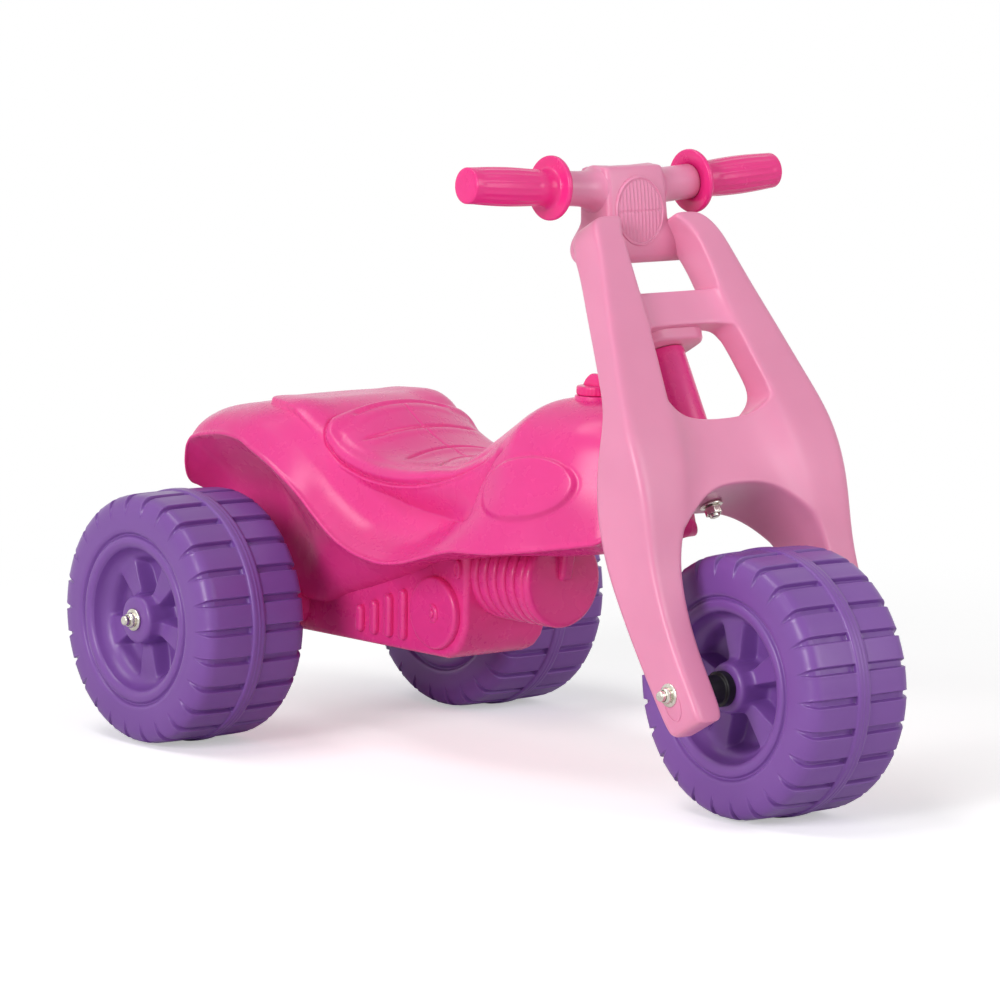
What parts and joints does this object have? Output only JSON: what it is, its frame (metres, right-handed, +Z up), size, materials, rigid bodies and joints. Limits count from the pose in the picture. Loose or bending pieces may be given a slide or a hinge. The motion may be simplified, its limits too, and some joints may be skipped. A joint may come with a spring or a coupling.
{
  "type": "three-wheeled ride-on toy",
  "caption": "Pink moulded foot-to-floor ride-on trike with a quad-bike look, raked steering fork, wide handlebar and chunky purple wheels.",
  "frame": {"origin": "on the floor under the middle of the toy, half way between the two axles", "axes": "+X forwards, +Y to the rider's left, +Z up"},
  "size_m": [0.7376, 0.434, 0.4898],
  "materials": {
    "hot_pink_plastic": "satin",
    "bright_pink_plastic": "gloss",
    "light_pink_plastic": "satin",
    "purple_plastic": "satin",
    "black_plastic": "satin",
    "plated_steel": "zinc plated"
  },
  "bodies": {
    "body": {"body_shell": "hot_pink_plastic", "rear_axle": "plated_steel", "rear_left_washer": "plated_steel", "rear_right_washer": "plated_steel", "rear_left_push_nut": "plated_steel", "rear_right_push_nut": "plated_steel"},
    "fork": {"fork_frame": "light_pink_plastic", "left_grip": "bright_pink_plastic", "right_grip": "bright_pink_plastic", "front_axle": "plated_steel", "front_left_washer": "plated_steel", "front_right_washer": "plated_steel", "front_left_push_nut": "plated_steel", "front_right_push_nut": "plated_steel", "front_left_spacer": "black_plastic", "front_right_spacer": "black_plastic", "steering_bolt": "plated_steel", "steering_upper_washer": "plated_steel", "steering_lower_washer": "plated_steel", "steering_nut": "plated_steel"},
    "front_wheel": {"front_wheel": "purple_plastic"},
    "rear_left_wheel": {"rear_left_wheel": "purple_plastic"},
    "rear_right_wheel": {"rear_right_wheel": "purple_plastic"},
    "fuel_cap": {"fuel_cap": "bright_pink_plastic"}
  },
  "joints": [
    {"name": "steering", "type": "hinge", "parent": "body", "child": "fork", "pos_m": [0.26203, 0, 0.10211], "axis": [-0.4768, 0, 0.879], "range_deg": [-30, 30]},
    {"name": "front_wheel_spin", "type": "hinge", "parent": "fork", "child": "front_wheel", "pos_m": [0.26635, 0, 0.10211], "axis": [0, 1, 0], "continuous": true},
    {"name": "rear_left_wheel_spin", "type": "hinge", "parent": "body", "child": "rear_left_wheel", "pos_m": [-0.26635, 0.1569, 0.10211], "axis": [0, 1, 0], "continuous": true},
    {"name": "rear_right_wheel_spin", "type": "hinge", "parent": "body", "child": "rear_right_wheel", "pos_m": [-0.26635, -0.1569, 0.10211], "axis": [0, 1, 0], "continuous": true},
    {"name": "fuel_cap_turn", "type": "hinge", "parent": "body", "child": "fuel_cap", "pos_m": [0.05764, 0, 0.2999], "axis": [0, 0, 1], "continuous": true}
  ]
}
